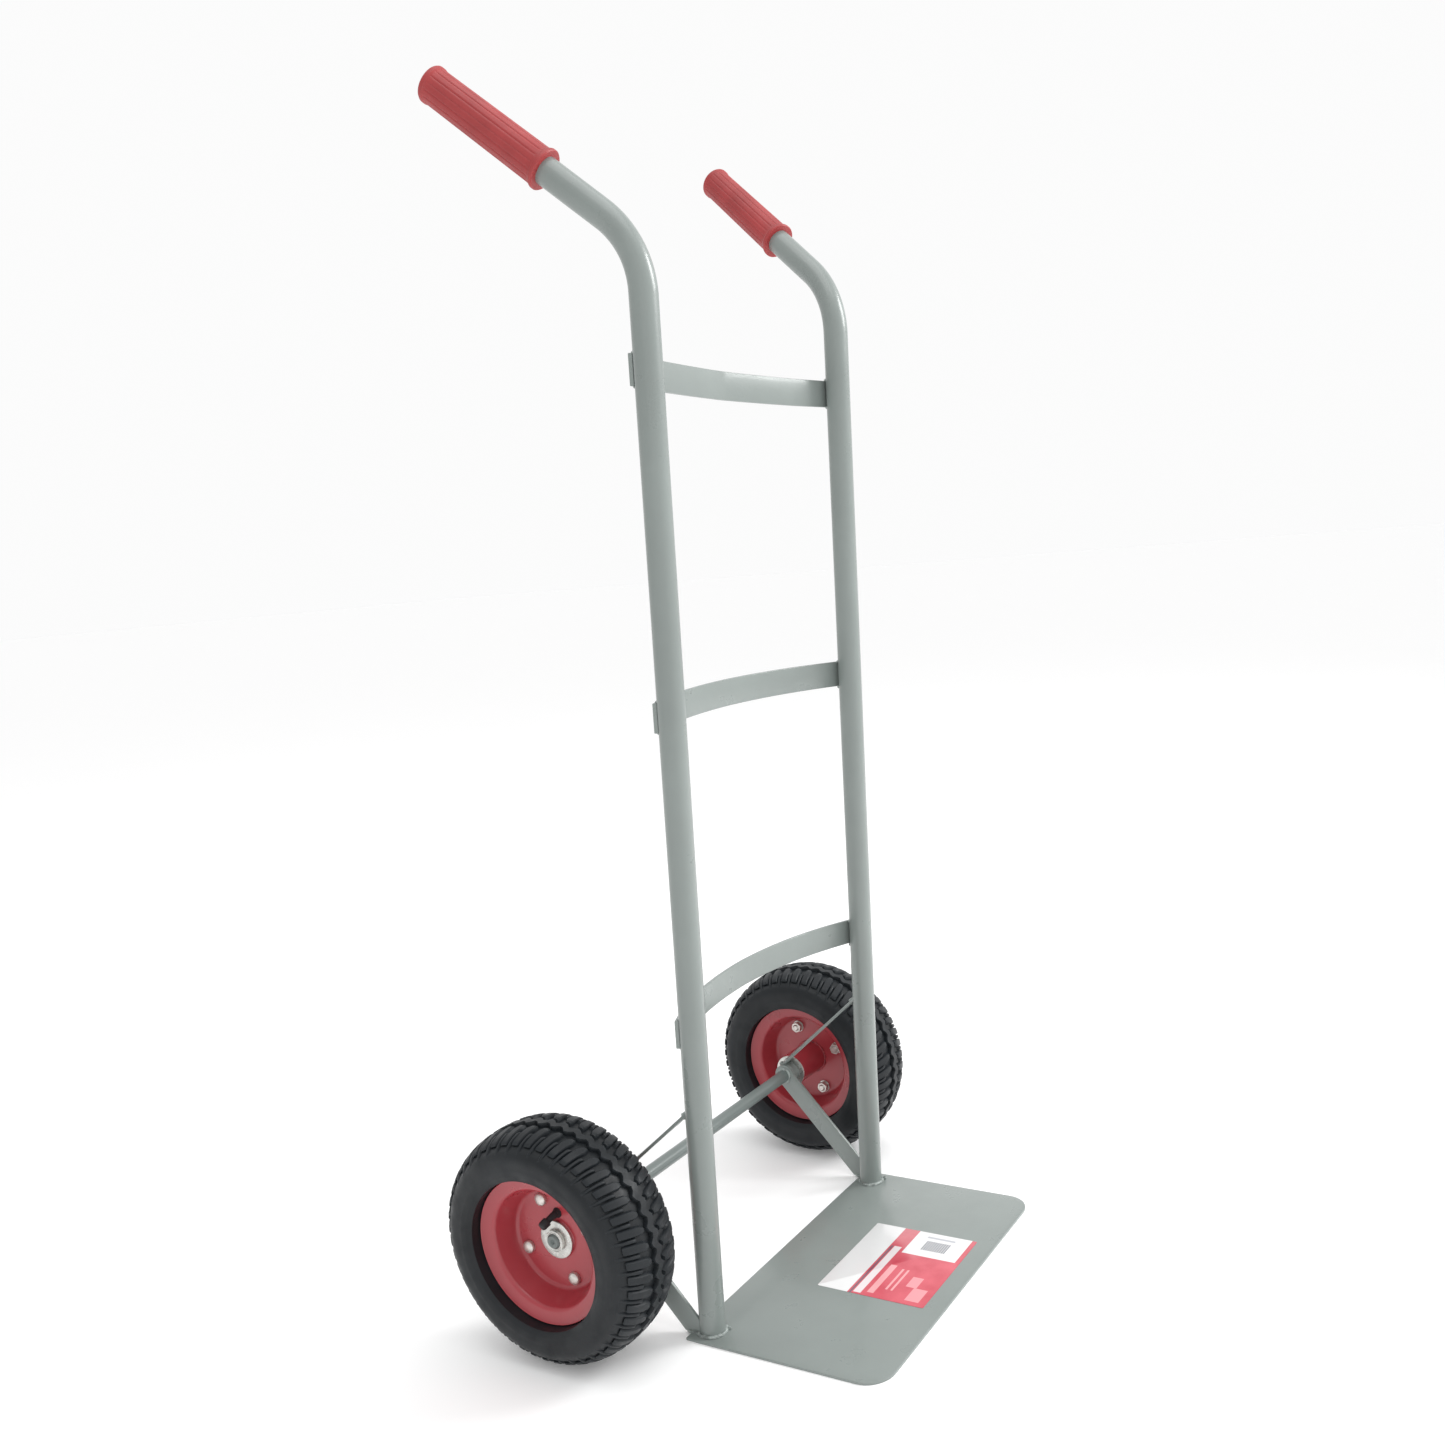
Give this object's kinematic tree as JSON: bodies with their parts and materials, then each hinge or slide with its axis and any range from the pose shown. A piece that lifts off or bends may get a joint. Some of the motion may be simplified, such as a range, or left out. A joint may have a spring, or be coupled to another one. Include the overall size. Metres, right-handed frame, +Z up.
{
  "type": "hand truck",
  "caption": "Upright two-wheel hand truck: steel tube ladder frame with swept-back handles, flat toe plate, braced axle and pneumatic wheels that spin on ball bearings.",
  "frame": {"origin": "on the floor, on the underside of the toe plate, midway between the feet of the two side tubes", "axes": "+Z up; -Y to the front, the toe plate's side; +Y to the back, the side of the wheels and handles; +X to the left and -X to the right of the person who holds the handles"},
  "size_m": [0.626, 0.47, 1.2884],
  "materials": {
    "frame_paint": "grey gloss powder coat over steel",
    "axle_paint": "darker grey paint over steel, thin at the ends",
    "rim_paint": "dull red gloss paint over pressed steel",
    "grip_rubber": "dull red, satin, with lengthwise flats",
    "tyre": "black, matt, with moulded tread blocks",
    "inner_tube": "black butyl",
    "zinc": "bright zinc plate",
    "bearing_steel": "ground steel",
    "bearing_plastic": "moulded",
    "seal_rubber": "matt black",
    "valve_rubber": "matt black",
    "cap_plastic": "moulded black",
    "label": "printed vinyl, red and white, with a plain pattern and no lettering"
  },
  "bodies": {
    "frame": {"side_tube_left": "frame_paint", "side_tube_right": "frame_paint", "grip_left": "grip_rubber", "grip_right": "grip_rubber", "crossbar_upper": "frame_paint", "crossbar_middle": "frame_paint", "crossbar_lower": "frame_paint", "toe_plate": "frame_paint", "plate_label": "label", "lower_brace_left": "frame_paint", "lower_brace_right": "frame_paint", "upper_brace_left": "frame_paint", "upper_brace_right": "frame_paint", "axle": "axle_paint", "axle_collar_left": "axle_paint", "axle_collar_right": "axle_paint", "inner_washers": "zinc", "outer_washers": "zinc", "retaining_rings": "zinc", "bearing_inner_races_left": "bearing_steel", "bearing_inner_races_right": "bearing_steel", "bearing_spacer_left": "bearing_steel", "bearing_spacer_right": "bearing_steel"},
    "wheel_left": {"tyre_left": "tyre", "inner_tube_left": "inner_tube", "rim_outer_left": "rim_paint", "rim_inner_left": "rim_paint", "hub_sleeve_left": "rim_paint", "bearing_outer_races_left": "bearing_steel", "bearing_balls_left": "bearing_steel", "bearing_cages_left": "bearing_plastic", "bearing_seals_left": "seal_rubber", "rim_bolts_left": "zinc", "rim_washers_left": "zinc", "rim_nuts_left": "zinc", "valve_stem_left": "valve_rubber", "valve_cap_left": "cap_plastic"},
    "wheel_right": {"tyre_right": "tyre", "inner_tube_right": "inner_tube", "rim_outer_right": "rim_paint", "rim_inner_right": "rim_paint", "hub_sleeve_right": "rim_paint", "bearing_outer_races_right": "bearing_steel", "bearing_balls_right": "bearing_steel", "bearing_cages_right": "bearing_plastic", "bearing_seals_right": "seal_rubber", "rim_bolts_right": "zinc", "rim_washers_right": "zinc", "rim_nuts_right": "zinc", "valve_stem_right": "valve_rubber", "valve_cap_right": "cap_plastic"}
  },
  "joints": [
    {"name": "wheel_left_spin", "type": "hinge", "parent": "frame", "child": "wheel_left", "pos_m": [0.266, 0.124, 0.13], "axis": [1, 0, 0], "continuous": true},
    {"name": "wheel_right_spin", "type": "hinge", "parent": "frame", "child": "wheel_right", "pos_m": [-0.266, 0.124, 0.13], "axis": [1, 0, 0], "continuous": true}
  ]
}
